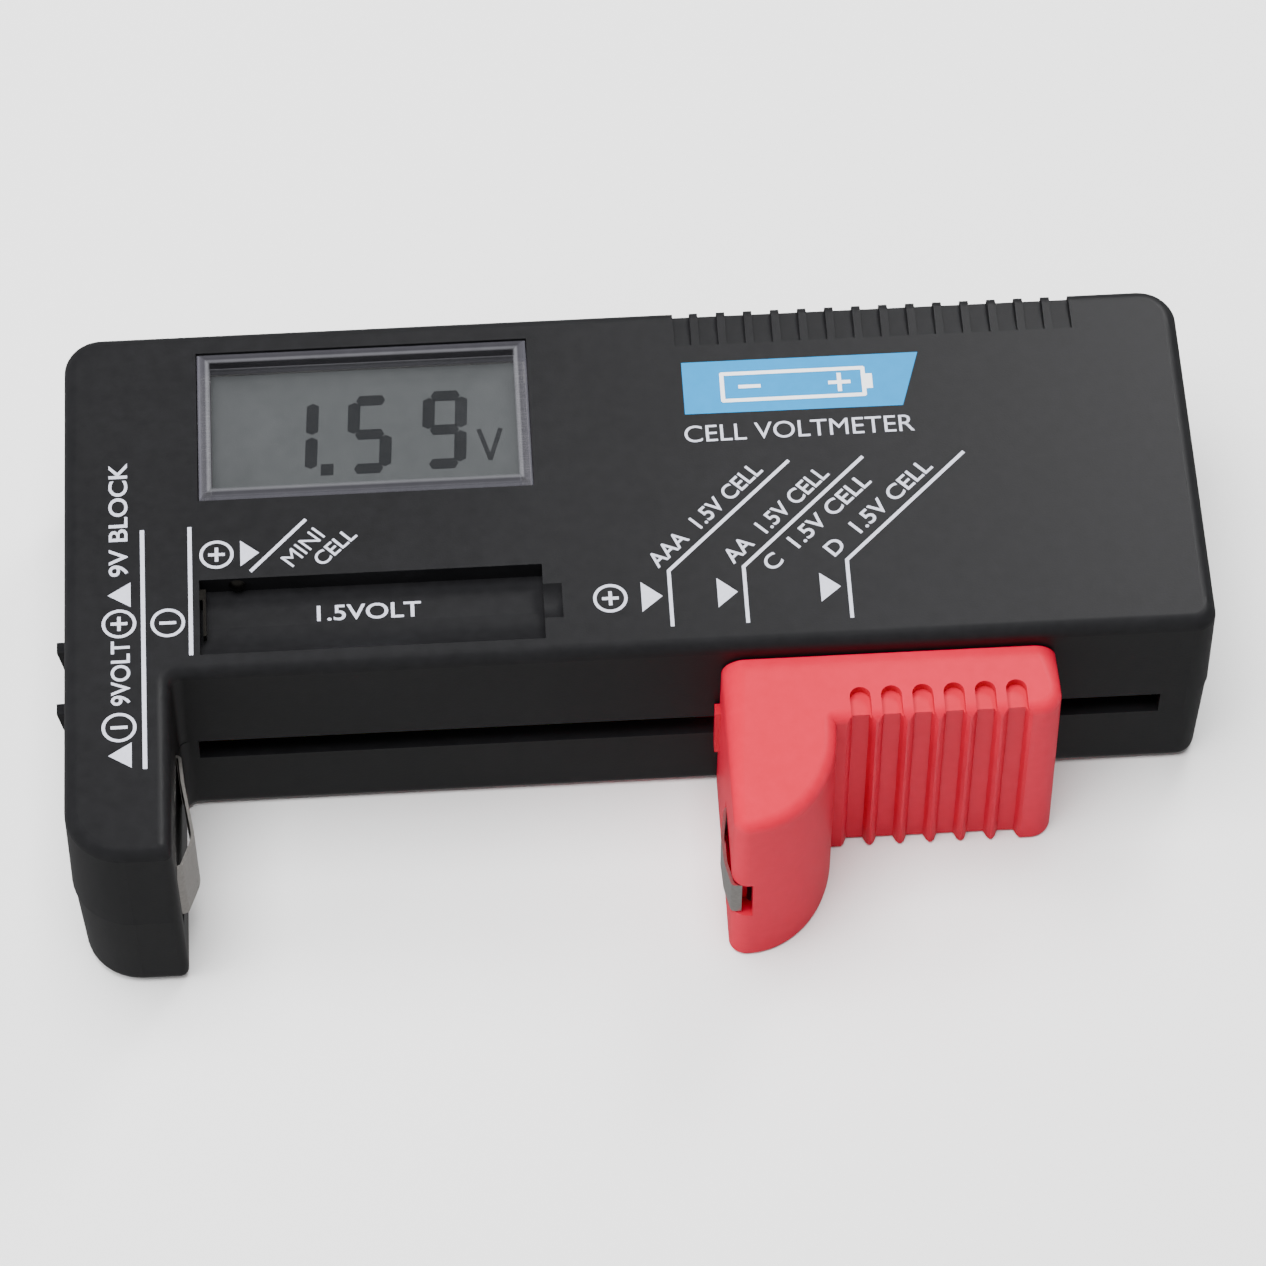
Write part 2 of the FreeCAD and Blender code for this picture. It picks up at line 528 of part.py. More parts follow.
# ---- jaw ----
def jaw_outline(inset, up, z):
    """Plan of the jaw: a quarter-ellipse leg, then the grip. up is 0 at the underside and 1 on top."""
    lean, draft = JAW_LEAN * up, JAW_DRAFT * up
    x0, x1 = JAW_LEFT + inset + draft, JAW_RIGHT - inset - draft
    back, grip, cy = JAW_BACK - inset, GRIP_Y + inset + lean, LEG_CY + lean
    cx = max(LEG_CX, x0 + 0.4)
    a, b = LEG_RIGHT - inset - cx, LEG_REACH - inset
    left, right = cx - x0, GRIP_CORNER - inset / 2
    turn, stop = math.pi / 4, math.pi / 2 + math.asin((grip - cy) / b)
    bend = [V(cx + a * math.sin(t), cy - b * math.cos(t), z) for t in (0, turn, stop)]
    ellipse = Part.Ellipse(V(cx, cy - b, z), V(cx + a, cy, z), V(cx, cy, z))
    leg = Part.ArcOfEllipse(ellipse, 0, stop).toShape()
    nose = V(x0 + left * 0.2929, cy - b + left * 0.2929, z)
    elbow = V(x1 - right * 0.2929, grip + right * 0.2929, z)
    return Part.Wire([
        Part.makeLine(V(x0, back, z), V(x0, cy - b + left, z)),
        Part.Arc(V(x0, cy - b + left, z), nose, bend[0]).toShape(),
        leg,
        Part.makeLine(bend[2], V(x1 - right, grip, z)),
        Part.Arc(V(x1 - right, grip, z), elbow, V(x1, grip + right, z)).toShape(),
        Part.makeLine(V(x1, grip + right, z), V(x1, back, z)),
        Part.makeLine(V(x1, back, z), V(x0, back, z)),
    ])


def jaw_skin():
    """Outside of the jaw, its top edges rounded, along the sides more and more towards the back."""
    solid = Part.makeLoft([jaw_outline(0, 0, JAW_LOW), jaw_outline(0, 1, JAW_TOP)], True, True)
    document = FreeCAD.newDocument("jaw")
    plain = document.addObject("Part::Feature", "Plain")
    plain.Shape = solid
    rounded = document.addObject("Part::Fillet", "Rounded")
    rounded.Base = plain
    radii = []
    for i, edge in enumerate(solid.Edges, 1):
        ends = (edge.Vertexes[0], edge.Vertexes[-1])
        at_back = [abs(v.Y - JAW_BACK) < 1e-6 for v in ends]
        if all(abs(v.Z - JAW_TOP) < 1e-6 for v in ends) and not all(at_back):
            radii.append((i, *(JAW_SIDE_EDGE if back else JAW_EDGE for back in at_back)))
    rounded.Edges = radii
    document.recompute()
    shape = rounded.Shape
    FreeCAD.closeDocument(document.Name)
    return shape


def jaw_cavity():
    """The hollow under the jaw's skin, open below, with one stiffening rib left standing."""
    z0, z1 = JAW_LOW - 1, JAW_TOP - JAW_ROOF
    hollow = Part.makeLoft([jaw_outline(JAW_WALL, 0, z0), jaw_outline(JAW_WALL, 1, z1)], True, True)
    rib_x = LEG_RIGHT - 1.2
    return hollow.cut(box(rib_x, rib_x + 1.2, GRIP_Y, JAW_BACK, JAW_LOW + 1.5, JAW_TOP))


def finger_grooves():
    """Upright grooves in the grip that run over its top edge and end in a half circle."""
    narrow, wide = GROOVE_WIDTH / 2 - 0.2, GROOVE_WIDTH / 2 + 0.1
    mouth = wide + RIDGE_BEVEL + 0.05
    made = []
    for i in range(GROOVES):
        x = FIRST_GROOVE_X + i * GROOVE_PITCH
        sections = []
        for face_y, z in ((GRIP_Y, JAW_LOW - 0.01), (GRIP_Y + JAW_LEAN, JAW_TOP - 0.3)):
            half = [(narrow, face_y + GROOVE_DEPTH), (wide, face_y + RIDGE_BEVEL),
                    (mouth, face_y - 0.05), (mouth, face_y - 2)]
            right = [V(x + w, y, z) for w, y in half]
            left = [V(x - w, y, z) for w, y in reversed(half)]
            sections.append(Part.makePolygon(right + left + right[:1]))
        channel = Part.makeLoft(sections, True, True)
        r = GROOVE_WIDTH / 2
        end = rod(r, V(x, GROOVE_END_Y - r, JAW_TOP - GROOVE_DEPTH), Z, 3)
        run = box(x - r, x + r, GRIP_Y - 2, GROOVE_END_Y - r, JAW_TOP - GROOVE_DEPTH, JAW_TOP + 2)
        made += [channel, end, run]
    return made


def jaw_slits():
    """Openings for the jaw's leaf: its slit, its path along the face, and the notch it hooks into."""
    z0, z1 = LEAF_LOW - 0.15, LEAF_TOP + 0.15
    half = LEAF + 0.3
    slit = box(JAW_LEFT - 2, JAW_LEFT + JAW_WALL + 1, LEAF_SLIT_Y - half, LEAF_SLIT_Y + half, z0, z1)
    face = box(JAW_LEFT - 2, JAW_LEFT + 0.55, LEG_CY - LEG_REACH + 1.2, LEAF_SLIT_Y, z0, z1)
    notch = box(JAW_LEFT - 2, JAW_LEFT + 2.1, LEG_CY - LEG_REACH - 1, LEG_CY - LEG_REACH + 2.4, z0, z1)
    return [slit, face, notch]


def jaw():
    """Red sliding jaw: skin, tongue in the slot, flange behind the wall, and the peg for the spring."""
    lip = box(JAW_LEFT - LIP, JAW_LEFT + 1, JAW_BACK - 1.2, JAW_BACK, LIP_LOW, LIP_TOP)
    tongue = box(JAW_LEFT + 0.4, TONGUE_RIGHT, JAW_BACK - 1.2, FLANGE_Y1, TONGUE_LOW, TONGUE_TOP)
    guide = box(TONGUE_LEFT, JAW_LEFT + 2, BAY_Y + 0.7, FLANGE_Y1, PART_Z - 1.0, PART_Z - 0.2)
    flange = box(TONGUE_LEFT, TONGUE_RIGHT, FLANGE_Y0, FLANGE_Y1, FLANGE_LOW, FLANGE_TOP)
    arm = box(PEG_X - 1.1, PEG_X + 1.1, FLANGE_Y1 - 0.5, SPRING_Y + 1.0, SPRING_Z - 3.4, SPRING_Z - 1.8)
    peg = rod(PEG_R, V(PEG_X, SPRING_Y, SPRING_Z - 2), Z, 3.4)
    solid = union([jaw_skin().cut(jaw_cavity()), lip, tongue, guide, flange, arm, peg])
    wiper_way = box(WIPER_X0 - 0.2, WIPER_X1 + 0.2, JAW_BACK - 3, FLANGE_Y1 + 1,
                    TONGUE_TOP - 0.05, TONGUE_TOP + WIPER_THICK + 0.2)
    return solid.cut(Part.makeCompound(finger_grooves() + jaw_slits() + [wiper_way]))


def jaw_contact():
    """Leaf on the jaw: out of a slit, over the crown, and hooked into the notch at the leg's corner."""
    nose_y = LEG_CY - LEG_REACH
    points = [
        (JAW_LEFT + 4.0, LEAF_SLIT_Y),
        (JAW_LEFT - 0.1, LEAF_SLIT_Y),
        (JAW_LEFT - 0.3, LEAF_SLIT_Y - 1.2),
        (JAW_TIP_X + 0.01, CELL_Y - 0.4, 3.0),
        (JAW_TIP_X + 0.15, nose_y + 3.4),
        (JAW_LEFT + 0.05, nose_y + 0.85, 0.4),
        (JAW_LEFT + 1.05, nose_y + 0.75),
    ]
    return strip(points, 0.5, -LEAF, LEAF_LOW, LEAF_TOP)


def wiper():
    """Springy strip along the tongue, from the hollow of the jaw down to the rail."""
    z = TONGUE_TOP + WIPER_THICK + 0.02
    foot = RAIL_LOW + RAIL_THICK
    points = [
        (JAW_BACK - 5.2, z),
        (FLANGE_Y1 + 0.9, z),
        (FLANGE_Y1 + 1.0, foot + 1.9),
        (FLANGE_Y1 + 1.9, foot + 0.26),
        (FLANGE_Y1 + 2.7, foot + 1.0),
    ]
    path = rounded_path([(WIPER_X0, y, h) for y, h in points], 0.3)
    face = path.makeOffset2D(WIPER_THICK, 0, True, True, False)
    return face.extrude(V(WIPER_X1 - WIPER_X0, 0, 0))


def return_spring():
    """Extension spring, drawn at the AA opening, with rings over the anchor post and the jaw's peg."""
    length = (SPRING_X1 - SPRING_X0) / SPRING_LENGTHS
    pitch = length / TURNS_EACH
    along = V(0, 2 * math.pi * SPRING_R, pitch).normalize()
    ring = Part.Wire(Part.makeCircle(SPRING_WIRE, V(SPRING_R, 0, 0), along))
    coil = Part.Wire(Part.makeHelix(pitch, length, SPRING_R)).makePipeShell([ring], True, True)
    coil.rotate(V(0, 0, 0), Y, 90)
    pieces = []
    for i in range(SPRING_LENGTHS):
        piece = coil.copy()
        piece.translate(V(SPRING_X0 + i * length, SPRING_Y, SPRING_Z))
        pieces.append(piece)
    hooks = [Part.makeTorus(HOOK_R, SPRING_WIRE, V(x, SPRING_Y, SPRING_Z), Z) for x in (ANCHOR_X, PEG_X)]
    return Part.makeCompound(pieces + hooks)


# ---- leads ----
def rail_lead():
    z = RAIL_LOW + RAIL_THICK + LEAD_R
    x = RAIL_X0 + 1.5
    return lead([(x, RAIL_Y1 + 1.4, z), (x, 4.5, z), (x, 4.5, BOARD_LOW)])


def fixed_lead():
    x, y, z = ARM_INNER_X - 1.4 - LEAD_R, FIXED_ROOT_Y + 3.2, FIXED_LOW + 1.5
    return lead([(x, y, z), (x, 1.0, z), (x, 1.0, BOARD_LOW)])


def nine_volt_lead(side, run_z, y):
    """From a contact's tab down to run_z, along the left wall, and up to the board at y."""
    x, start_y = LEFT_INNER_X + 0.45 + LEAD_R, SNAPS[side][0] + 0.9
    board_x = BOARD_X0 + 1.6
    tab_z = SNAP_Z0 - 1.0
    return lead([(x, start_y, tab_z), (x, start_y, run_z), (x, y, run_z), (board_x, y, run_z),
                 (board_x, y, BOARD_LOW)], 1.4)


# ---- every node, by name ----
NODES = {
    "upper_case": upper_case,
    "lower_case": lower_case,
    "case_screws": case_screws,
    "display_window": display_window,
    "display_glass": display_glass,
    "display_frame": display_frame,
    "zebra_strips": zebra_strips,
    "circuit_board": circuit_board,
    "board_screws": board_screws,
    "chip_blob": chip_blob,
    "resistors": resistors,
    "capacitor": capacitor,
    "boost_coil": boost_coil,
    "trimmer": trimmer,
    "fixed_contact": fixed_contact,
    "nine_volt_positive_contact": lambda: nine_volt_contact("positive"),
    "nine_volt_negative_contact": lambda: nine_volt_contact("negative"),
    "mini_positive_contact": mini_positive_contact,
    "mini_negative_contact": mini_negative_contact,
    "contact_rail": contact_rail,
    "rail_lead": rail_lead,
    "fixed_lead": fixed_lead,
    "nine_volt_positive_lead": lambda: nine_volt_lead("positive", 5.6, 8.6),
    "nine_volt_negative_lead": lambda: nine_volt_lead("negative", 3.4, 11.6),
    "jaw": jaw,
    "jaw_contact": jaw_contact,
    "wiper": wiper,
    "return_spring": return_spring,
}


def main():
    os.makedirs("parts", exist_ok=True)
    for name, build in NODES.items():
        shape = build()
        sound = shape.isValid() and all(s.isClosed() and s.Volume > 0 for s in shape.Solids)
        verdict = "sound" if sound else "NOT SOUND"
        print(f"{name}: {len(shape.Solids)} solid(s), {shape.Volume:.1f} mm3, {verdict}")
        shape.exportStep(f"parts/{name}.step")


main()
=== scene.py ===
"""Looks of the battery tester: finishes, printed markings, display reading, return spring and studio."""

import json
import math

import bpy
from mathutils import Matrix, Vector


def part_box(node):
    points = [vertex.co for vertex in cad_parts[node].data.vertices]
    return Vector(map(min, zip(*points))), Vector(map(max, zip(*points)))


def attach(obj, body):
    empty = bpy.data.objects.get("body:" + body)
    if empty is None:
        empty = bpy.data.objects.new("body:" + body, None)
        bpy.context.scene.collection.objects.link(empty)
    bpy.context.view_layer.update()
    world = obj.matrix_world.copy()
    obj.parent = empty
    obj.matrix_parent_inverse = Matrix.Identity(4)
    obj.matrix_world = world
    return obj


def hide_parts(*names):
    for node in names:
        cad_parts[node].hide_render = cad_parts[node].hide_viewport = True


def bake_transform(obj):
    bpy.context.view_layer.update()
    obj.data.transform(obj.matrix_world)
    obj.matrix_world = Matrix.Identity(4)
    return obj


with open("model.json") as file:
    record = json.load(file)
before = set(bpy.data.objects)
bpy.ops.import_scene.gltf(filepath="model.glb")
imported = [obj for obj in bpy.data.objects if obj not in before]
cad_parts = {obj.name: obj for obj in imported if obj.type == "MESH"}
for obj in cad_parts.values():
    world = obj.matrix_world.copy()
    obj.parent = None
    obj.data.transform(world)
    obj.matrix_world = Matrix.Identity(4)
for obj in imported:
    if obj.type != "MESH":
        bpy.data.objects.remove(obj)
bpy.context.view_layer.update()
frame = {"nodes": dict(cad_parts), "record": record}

MM = 0.001
_, CASE_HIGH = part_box("upper_case")
ROOF_Z = CASE_HIGH.z / MM
GLASS_LOW, GLASS_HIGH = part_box("display_glass")
_, WINDOW_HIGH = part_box("display_window")


# ---- node helpers ----
def ramp(nodes, stops):
    """A colour ramp with the given (position, colour) stops."""
    node = nodes.new("ShaderNodeValToRGB")
    elements = node.color_ramp.elements
    for position, _ in stops[2:]:
        elements.new(position)
    for element, (position, colour) in zip(elements, stops):
        element.position = position
        element.color = (*colour, 1.0)
    return node


def calc(nodes, links, operation, *values):
    """A math node's output; each value is a number or another node's output."""
    node = nodes.new("ShaderNodeMath")
    node.operation = operation
    for socket, value in zip(node.inputs, values):
        if isinstance(value, bpy.types.NodeSocket):
            links.new(value, socket)
        else:
            socket.default_value = value
    return node.outputs["Value"]


def spread_over(nodes, links, value, source, result):
    """Map a value from the range source to the range result, held at both ends."""
    node = nodes.new("ShaderNodeMapRange")
    for name, number in zip(("From Min", "From Max", "To Min", "To Max"), (*source, *result)):
        node.inputs[name].default_value = number
    links.new(value, node.inputs["Value"])
    return node.outputs["Result"]


def noise(nodes, links, scale, detail):
    """A noise node's grey output, fixed to the object's own coordinates."""
    place = nodes.new("ShaderNodeTexCoord")
    node = nodes.new("ShaderNodeTexNoise")
    node.inputs["Scale"].default_value = scale
    node.inputs["Detail"].default_value = detail
    links.new(place.outputs["Object"], node.inputs["Vector"])
    return node.outputs["Fac"]


def own_axes(nodes, links):
    """The object's own X, Y and Z as outputs."""
    place = nodes.new("ShaderNodeTexCoord")
    split = nodes.new("ShaderNodeSeparateXYZ")
    links.new(place.outputs["Object"], split.inputs["Vector"])
    return split.outputs


# ---- materials ----
BUMP_DEPTH = 0.00005


def surface(name, dark, light, rough, spread=0.05, metallic=0.0, grain=900.0, bump=0.0, bump_scale=4000.0,
            specular=0.5):
    """A finish whose colour drifts from dark to light and its roughness by spread, with a fine grain."""
    made = bpy.data.materials.new(name)
    made.use_nodes = True
    nodes, links = made.node_tree.nodes, made.node_tree.links
    shader = nodes["Principled BSDF"]
    both = calc(nodes, links, "ADD", noise(nodes, links, 35.0, 3.0), noise(nodes, links, grain, 2.0))
    half = calc(nodes, links, "MULTIPLY", both, 0.5)
    tone = ramp(nodes, [(0.3, dark), (0.7, light)])
    links.new(half, tone.inputs["Fac"])
    links.new(tone.outputs["Color"], shader.inputs["Base Color"])
    gloss = spread_over(nodes, links, half, (0.0, 1.0), (rough - spread, rough + spread))
    links.new(gloss, shader.inputs["Roughness"])
    shader.inputs["Metallic"].default_value = metallic
    shader.inputs["Specular IOR Level"].default_value = specular
    if bump:
        lift = nodes.new("ShaderNodeBump")
        lift.inputs["Strength"].default_value = bump
        lift.inputs["Distance"].default_value = BUMP_DEPTH
        links.new(noise(nodes, links, bump_scale, 2.0), lift.inputs["Height"])
        links.new(lift.outputs["Normal"], shader.inputs["Normal"])
    return made


def tinted(nodes, links, colour, operation, by, socket):
    """A colour output multiplied by another, or scaled by a number's output."""
    node = nodes.new("ShaderNodeVectorMath")
    node.operation = operation
    links.new(colour, node.inputs[0])
    links.new(by, node.inputs[socket])
    return node.outputs["Vector"]


def window_plastic():
    """Clear cover: see-through over the glass, with a grey rim painted in bands of highlight and shade that
    stand in for light on its bevels, and painted shade on the rim's top and bottom sides.
    """
    made = surface("window_plastic", (0.13, 0.13, 0.143), (0.165, 0.165, 0.18), 0.20, 0.03, specular=0.35)
    nodes, links = made.node_tree.nodes, made.node_tree.links
    shader = nodes["Principled BSDF"]
    axes = own_axes(nodes, links)
    half = (GLASS_HIGH - GLASS_LOW) / 2
    centre = (GLASS_LOW + GLASS_HIGH) / 2
    rim = WINDOW_HIGH.x - GLASS_HIGH.x
    blur, clear, frosted = (-0.0001, 0.0001), 0.03, 0.62
    past = []
    for axis, size, at in (("X", half.x, centre.x), ("Y", half.y, centre.y)):
        away = calc(nodes, links, "ABSOLUTE", calc(nodes, links, "SUBTRACT", axes[axis], at))
        past.append(calc(nodes, links, "SUBTRACT", away, size))
    outer = calc(nodes, links, "MAXIMUM", *past)
    links.new(spread_over(nodes, links, outer, blur, (clear, frosted)), shader.inputs["Alpha"])
    # Painted highlight and shade: light and dark bands across the rim stand in for light falling on its
    # bevels.
    bands = ramp(nodes, [(0.0, (0.9, 0.9, 0.9)), (0.14, (1.15, 1.15, 1.15)), (0.24, (0.42, 0.41, 0.44)),
                         (0.42, (0.5, 0.49, 0.52)), (0.52, (0.95, 0.93, 1.0)), (0.78, (0.8, 0.78, 0.85)),
                         (0.86, (1.5, 1.5, 1.55)), (1.0, (1.5, 1.5, 1.55))])
    links.new(spread_over(nodes, links, outer, (0.0, rim), (0.0, 1.0)), bands.inputs["Fac"])
    # Painted shade: the rim's top and bottom sides are darkened to 0.65 of its left and right sides.
    ends = spread_over(nodes, links, calc(nodes, links, "SUBTRACT", *past), blur, (0.65, 1.0))
    tone = shader.inputs["Base Color"].links[0].from_socket
    rim_painted_light = tinted(nodes, links, tone, "MULTIPLY", bands.outputs["Color"], 1)
    links.new(tinted(nodes, links, rim_painted_light, "SCALE", ends, "Scale"), shader.inputs["Base Color"])
    return made


def banded(name, base, bands, period, axis):
    """Bands across one axis, for wound copper, resistor stripes and elastomer connectors."""
    made = surface(name, base, base, 0.4, 0.05)
    nodes, links = made.node_tree.nodes, made.node_tree.links
    wave = calc(nodes, links, "PINGPONG", own_axes(nodes, links)[axis], period)
    tone = ramp(nodes, [(0.0, base), (1.0, bands)])
    links.new(spread_over(nodes, links, wave, (period * 0.45, period * 0.55), (0.0, 1.0)), tone.inputs["Fac"])
    links.new(tone.outputs["Color"], nodes["Principled BSDF"].inputs["Base Color"])
    return made


CASE = surface("case_plastic", (0.0065, 0.0065, 0.0072), (0.0105, 0.0105, 0.0115), 0.46, 0.05, bump=0.15,
               bump_scale=5200.0, specular=0.25)
JAW = surface("jaw_plastic", (0.50, 0.002, 0.024), (0.56, 0.004, 0.032), 0.46, 0.04, bump=0.08,
              bump_scale=3000.0, specular=0.2)
NICKEL = surface("nickel", (0.50, 0.47, 0.44), (0.68, 0.65, 0.62), 0.30, 0.08, metallic=1.0, grain=2500.0)
BRASS = surface("brass", (0.62, 0.42, 0.16), (0.80, 0.60, 0.28), 0.32, 0.08, metallic=1.0)
STEEL = surface("spring_steel", (0.42, 0.42, 0.43), (0.58, 0.58, 0.60), 0.28, 0.06, metallic=1.0)
ZINC = surface("zinc_screw", (0.50, 0.50, 0.52), (0.66, 0.66, 0.68), 0.34, 0.08, metallic=1.0, grain=2500.0)
GLASS = surface("lcd", (0.045, 0.0485, 0.050), (0.055, 0.0585, 0.060), 0.30, 0.04, specular=0.2)
INK = surface("print_white", (0.48, 0.49, 0.57), (0.58, 0.59, 0.67), 0.5, 0.05, grain=3000.0)
BLUE = surface("badge_blue", (0.002, 0.20, 0.46), (0.004, 0.23, 0.52), 0.42, 0.05, specular=0.2)
WHITE = surface("badge_white", (0.84, 0.86, 0.88), (0.92, 0.94, 0.96), 0.45, 0.05)
SEGMENT = surface("lcd_segment", (0.008, 0.009, 0.010), (0.012, 0.013, 0.014), 0.35, 0.05, specular=0.2)
# Painted shade: a dark copy of nickel for the mini cell contacts, standing in for the shade they sit in.
SHADED_NICKEL = surface("shaded_nickel", (0.035, 0.033, 0.030), (0.06, 0.056, 0.05), 0.40, 0.08, metallic=1.0,
                    grain=2500.0)
FINISHES = {
    "case_plastic": CASE,
    "jaw_plastic": JAW,
    "window_plastic": window_plastic(),
    "lcd": GLASS,
    "frame_plastic": surface("frame_plastic", (0.62, 0.62, 0.58), (0.74, 0.74, 0.70), 0.5),
    "zebra_rubber": banded("zebra_rubber", (0.05, 0.05, 0.055), (0.35, 0.30, 0.30), 0.0004, "X"),
    "board": surface("board", (0.012, 0.10, 0.035), (0.020, 0.15, 0.055), 0.35, 0.06, grain=400.0),
    "epoxy": surface("epoxy", (0.008, 0.008, 0.009), (0.016, 0.016, 0.017), 0.2, 0.05),
    "resistor_body": banded("resistor_body", (0.55, 0.38, 0.20), (0.25, 0.06, 0.02), 0.0006, "X"),
    "capacitor_can": surface("capacitor_can", (0.62, 0.62, 0.64), (0.78, 0.78, 0.80), 0.3, metallic=1.0),
    "ferrite": banded("ferrite", (0.03, 0.03, 0.032), (0.45, 0.16, 0.06), 0.0018, "Z"),
    "trimmer_body": surface("trimmer_body", (0.015, 0.06, 0.35), (0.03, 0.10, 0.48), 0.35),
    "nickel": NICKEL,
    "brass": BRASS,
    "zinc_screw": ZINC,
    "spring_steel": STEEL,
    "red_lead": surface("red_lead", (0.45, 0.012, 0.012), (0.58, 0.02, 0.02), 0.35),
    "black_lead": surface("black_lead", (0.010, 0.010, 0.011), (0.022, 0.022, 0.024), 0.35),
}
for part in frame["record"]["subparts"]:
    mesh = frame["nodes"][part["node"]].data
    mesh.materials.clear()
    # The mini cell contacts take the dark nickel copy, which paints shade onto them.
    mesh.materials.append(SHADED_NICKEL if part["node"].startswith("mini_") else FINISHES[part["material_slot"]])


# ---- mesh builders, in millimetres ----
def piece(name, verts, faces, material, smooth=False):
    mesh = bpy.data.meshes.new(name)
    mesh.from_pydata([tuple(c * MM for c in v) for v in verts], [], faces)
    mesh.validate()
    mesh.update()
    mesh.materials.append(material)
    if smooth:
        mesh.shade_smooth()
    made = bpy.data.objects.new(name, mesh)
    bpy.context.scene.collection.objects.link(made)
    return made


def stroke(points, width):
    """Outline quads of a polyline, one per run, each a little longer than its run so corners close."""
    quads = []
    for (x0, y0), (x1, y1) in zip(points, points[1:]):
        length = math.hypot(x1 - x0, y1 - y0)
        ux, uy = (x1 - x0) / length * width / 2, (y1 - y0) / length * width / 2
        quads.append([(x0 - ux * 0.5 - uy, y0 - uy * 0.5 + ux), (x0 - ux * 0.5 + uy, y0 - uy * 0.5 - ux),
                      (x1 + ux * 0.5 + uy, y1 + uy * 0.5 - ux), (x1 + ux * 0.5 - uy, y1 + uy * 0.5 + ux)])
    return quads


def ring(x, y, rx, ry, width, steps=40):
    """Outline quads of an elliptical ring, width inwards from its radii."""
    quads = []
    for i in range(steps):
        a, b = (2 * math.pi * (i + k) / steps for k in (0, 1))
        quads.append([(x + math.cos(t) * (rx - w), y + math.sin(t) * (ry - w))
                      for t, w in ((a, 0), (b, 0), (b, width), (a, width))])
    return quads


def sign(x, y, plus):
    """A ring with a plus or a minus in it."""
    arm, bar = 0.72, 0.34
    shapes = ring(x, y, 1.66, 1.62, 0.32)
    shapes += stroke([(x - arm, y), (x + arm, y)], bar)
    if plus:
        shapes += stroke([(x, y - arm), (x, y + arm)], bar)
    return shapes


CAPITAL = 0.729


def lettering(words, at, size, angle=0.0, stretch=1.0, weight=0.0):
    """Flat outlines of the words: at is the left end of the baseline, size the height of a capital.

    CAPITAL is that height in the built-in typeface at size 1; weight thickens the letters in the same units.
    """
    curve = bpy.data.curves.new("letters", "FONT")
    curve.body = words
    curve.size = 1.0
    curve.offset = weight
    holder = bpy.data.objects.new("letters", curve)
    bpy.context.scene.collection.objects.link(holder)
    mesh = bpy.data.meshes.new_from_object(holder.evaluated_get(bpy.context.evaluated_depsgraph_get()))
    tall = size / CAPITAL
    c, s = math.cos(math.radians(angle)), math.sin(math.radians(angle))
    shapes = []
    for face in mesh.polygons:
        flat = [(mesh.vertices[i].co.x * tall * stretch, mesh.vertices[i].co.y * tall) for i in face.vertices]
        shapes.append([(at[0] + x * c - y * s, at[1] + x * s + y * c) for x, y in flat])
    bpy.data.objects.remove(holder)
    bpy.data.curves.remove(curve)
    bpy.data.meshes.remove(mesh)
    return shapes


INK_LIFT, INK_STEP = 0.015, 0.003


def printed(name, shapes, z, material, body="case"):
    """Ink: every outline laid flat just over z, facing up. Outlines that cross don't share a height."""
    verts, faces = [], []
    for i, shape in enumerate(shapes):
        area = sum(a[0] * b[1] - b[0] * a[1] for a, b in zip(shape, shape[1:] + shape[:1]))
        ordered = shape if area > 0 else shape[::-1]
        faces.append(list(range(len(verts), len(verts) + len(ordered))))
        verts += [(x, y, z + INK_STEP * (i % 4)) for x, y in ordered]
    made = piece(name, verts, faces, material)
    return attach(made, body)


# ---- markings on the display face ----
TROUGH_DEPTH = 2.2
TOP = ROOF_Z + INK_LIFT
RULE, FINE = 0.36, 0.012
marks = []
for x, y, plus in ((-2.8, -3.95, True), (-40.57, 3.25, True), (-45.35, -4.3, False), (-50.03, -4.15, True),
                   (-50.08, -15.8, False)):
    marks += sign(x, y, plus)
for tip_x, base_x, y, half in ((2.25, 0.2, -3.97, 1.7), (9.5, 7.54, -3.9, 1.68), (19.47, 17.48, -3.85, 1.65),
                               (-36.45, -38.27, 3.25, 1.48)):
    marks.append([(base_x, y + half), (base_x, y - half), (tip_x, y)])
for y in (-0.88, -18.9):
    marks.append([(-48.9, y - 1.4), (-48.9, y + 1.4), (-51.12, y)])
for x, knee, end in ((3.0, -1.12, (15.44, 11.0)), (10.26, -1.05, (22.71, 11.05)),
                     (20.28, -0.85, (32.64, 11.07))):
    marks += stroke([(x, -7.4), (x, knee), end], RULE)
marks += stroke([(-47.75, 6.4), (-47.65, -20.4)], 0.42)
marks += stroke([(-43.15, 6.5), (-43.15, -8.0)], 0.4)
marks += stroke([(-37.27, 1.19), (-31.92, 6.79)], RULE)
for words, at, size, angle, stretch, weight in (
        ("AAA  1.5V CELL", (2.05, -0.75), 1.75, 44.5, 0.93, FINE),
        ("AA  1.5V CELL", (9.35, -0.7), 1.75, 44.5, 0.95, FINE),
        ("C  1.5V CELL", (13.0, -1.85), 1.75, 43.5, 1.08, FINE),
        ("D  1.5V CELL", (19.05, -0.55), 1.75, 43.5, 1.08, FINE),
        ("MINI", (-33.35, 1.25), 1.75, 46.5, 1.02, 0.0),
        ("CELL", (-30.4, 1.25), 1.6, 44.0, 1.02, FINE),
        ("9VOLT", (-49.05, -13.4), 1.85, 90.0, 0.95, 0.014),
        ("9V BLOCK", (-49.2, 1.2), 1.85, 90.0, 1.12, 0.014),
        ("CELL VOLTMETER", (5.4, 13.75), 2.05, 0.4, 1.015, 0.0)):
    marks += lettering(words, at, size, angle, stretch, weight)
printed("case_markings", marks, TOP, INK)
volts = lettering("1.5VOLT", (-31.65, -3.5), 1.8, 0.0, 1.15, FINE)
printed("trough_marking", volts, TOP - TROUGH_DEPTH, INK)
badge = [(5.72, 23.3), (5.73, 17.1), (27.25, 17.0), (29.2, 23.3)]
printed("badge", [badge], TOP, BLUE)
